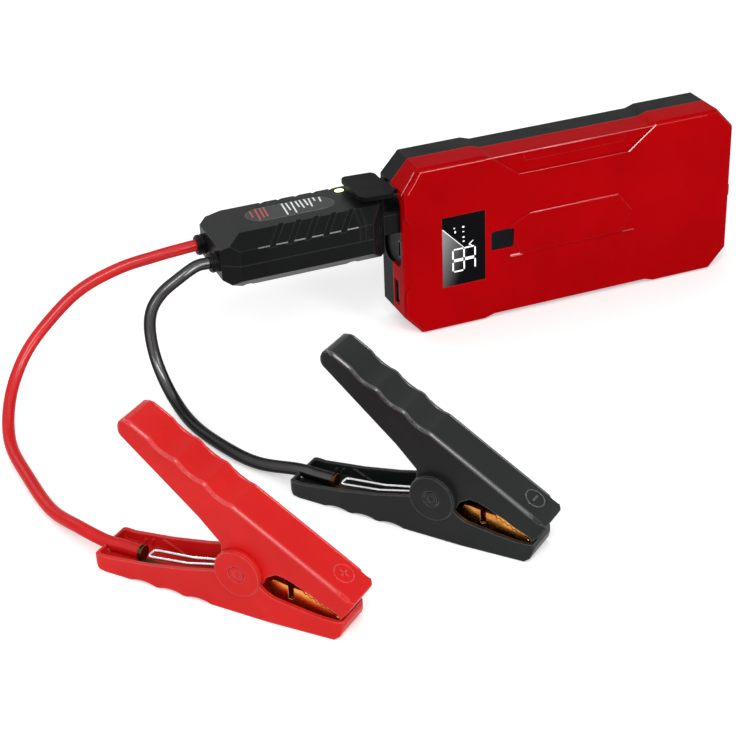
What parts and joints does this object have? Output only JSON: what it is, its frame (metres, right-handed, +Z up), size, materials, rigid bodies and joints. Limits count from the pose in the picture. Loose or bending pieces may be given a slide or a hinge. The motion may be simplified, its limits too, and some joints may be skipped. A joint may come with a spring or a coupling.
{
  "type": "jump starter pack",
  "caption": "Jump starter battery pack on its long edge, with plug-in smart lead box, two cables and sprung red and black battery clamps.",
  "frame": {"origin": "on the floor, under the middle of the pack and its plugged-in lead box", "axes": "+X along the pack, from its port end to its torch end; +Y from the red face to the back; +Z up"},
  "size_m": [0.3953, 0.2533, 0.09],
  "materials": {
    "red_housing": "satin moulded plastic",
    "black_housing": "fine-grained moulded plastic",
    "window_glass": "high gloss",
    "inner_plastic": "plain",
    "button_plastic": "satin",
    "bright_steel": "plated",
    "spring_steel": "bright",
    "contact_brass": "plated",
    "cell_foil": "foil",
    "circuit_board": "solder mask",
    "lens_plastic": "clear",
    "soft_rubber": "matt",
    "box_plastic": "fine-grained moulded plastic",
    "label_film": "satin film",
    "led_lens": "lit",
    "red_cable_jacket": "silicone",
    "black_cable_jacket": "silicone",
    "red_clamp_plastic": "satin moulded plastic",
    "black_clamp_plastic": "satin moulded plastic",
    "copper": "copper plated"
  },
  "bodies": {
    "pack": {"front_shell": "red_housing", "rear_shell": "black_housing", "display_window": "window_glass", "display_module": "inner_plastic", "button_switch": "inner_plastic", "port_panel": "black_housing", "jump_socket": "inner_plastic", "jump_contacts": "contact_brass", "usb_c_socket": "bright_steel", "usb_a_socket": "bright_steel", "flap_root": "soft_rubber", "battery_cells": "cell_foil", "cell_tray": "inner_plastic", "main_board": "circuit_board", "case_screws": "bright_steel", "torch_lens": "lens_plastic", "torch_led": "circuit_board"},
    "power_button": {"power_button": "button_plastic"},
    "port_flap": {"port_flap": "soft_rubber"},
    "lead_set": {"box_cover": "box_plastic", "box_base": "box_plastic", "label_panel": "label_film", "status_led": "led_lens", "box_board": "circuit_board", "box_relay": "inner_plastic", "plug_body": "box_plastic", "plug_sleeves": "contact_brass", "red_gland": "soft_rubber", "black_gland": "soft_rubber", "box_screws": "bright_steel", "red_cable": "red_cable_jacket", "black_cable": "black_cable_jacket", "red_lower_shell": "red_clamp_plastic", "red_lower_jaw": "copper", "red_pivot_pin": "red_clamp_plastic", "red_spring": "spring_steel", "red_cable_lug": "copper", "red_lower_rivet": "copper", "black_lower_shell": "black_clamp_plastic", "black_lower_jaw": "copper", "black_pivot_pin": "black_clamp_plastic", "black_spring": "spring_steel", "black_cable_lug": "copper", "black_lower_rivet": "copper"},
    "red_upper_handle": {"red_upper_shell": "red_clamp_plastic", "red_upper_jaw": "copper", "red_upper_rivet": "copper"},
    "black_upper_handle": {"black_upper_shell": "black_clamp_plastic", "black_upper_jaw": "copper", "black_upper_rivet": "copper"}
  },
  "joints": [
    {"name": "lead_unplug", "type": "slide", "parent": "pack", "child": "lead_set", "axis": [-1, 0, 0], "range_m": [0, 0.025]},
    {"name": "power_button_press", "type": "slide", "parent": "pack", "child": "power_button", "axis": [0, 1, 0], "range_m": [0, 0.0008], "stiffness_N_per_m": 600, "springref_m": -0.0006},
    {"name": "port_flap_hinge", "type": "hinge", "parent": "pack", "child": "port_flap", "pos_m": [-0.0473, 0, 0.0782], "axis": [0, 1, 0], "range_deg": [0, 60]},
    {"name": "red_clamp_pivot", "type": "hinge", "parent": "lead_set", "child": "red_upper_handle", "pos_m": [-0.18648, -0.1883, 0.0197], "axis": [-0.7716, -0.6361, 0], "range_deg": [0, 32], "stiffness_Nm_per_rad": 0.6, "springref_deg": -34.38, "deforming": ["red_spring"]},
    {"name": "black_clamp_pivot", "type": "hinge", "parent": "lead_set", "child": "black_upper_handle", "pos_m": [-0.09565, -0.1727, 0.0197], "axis": [-0.788, -0.6157, 0], "range_deg": [0, 32], "stiffness_Nm_per_rad": 0.6, "springref_deg": -34.38, "deforming": ["black_spring"]}
  ]
}
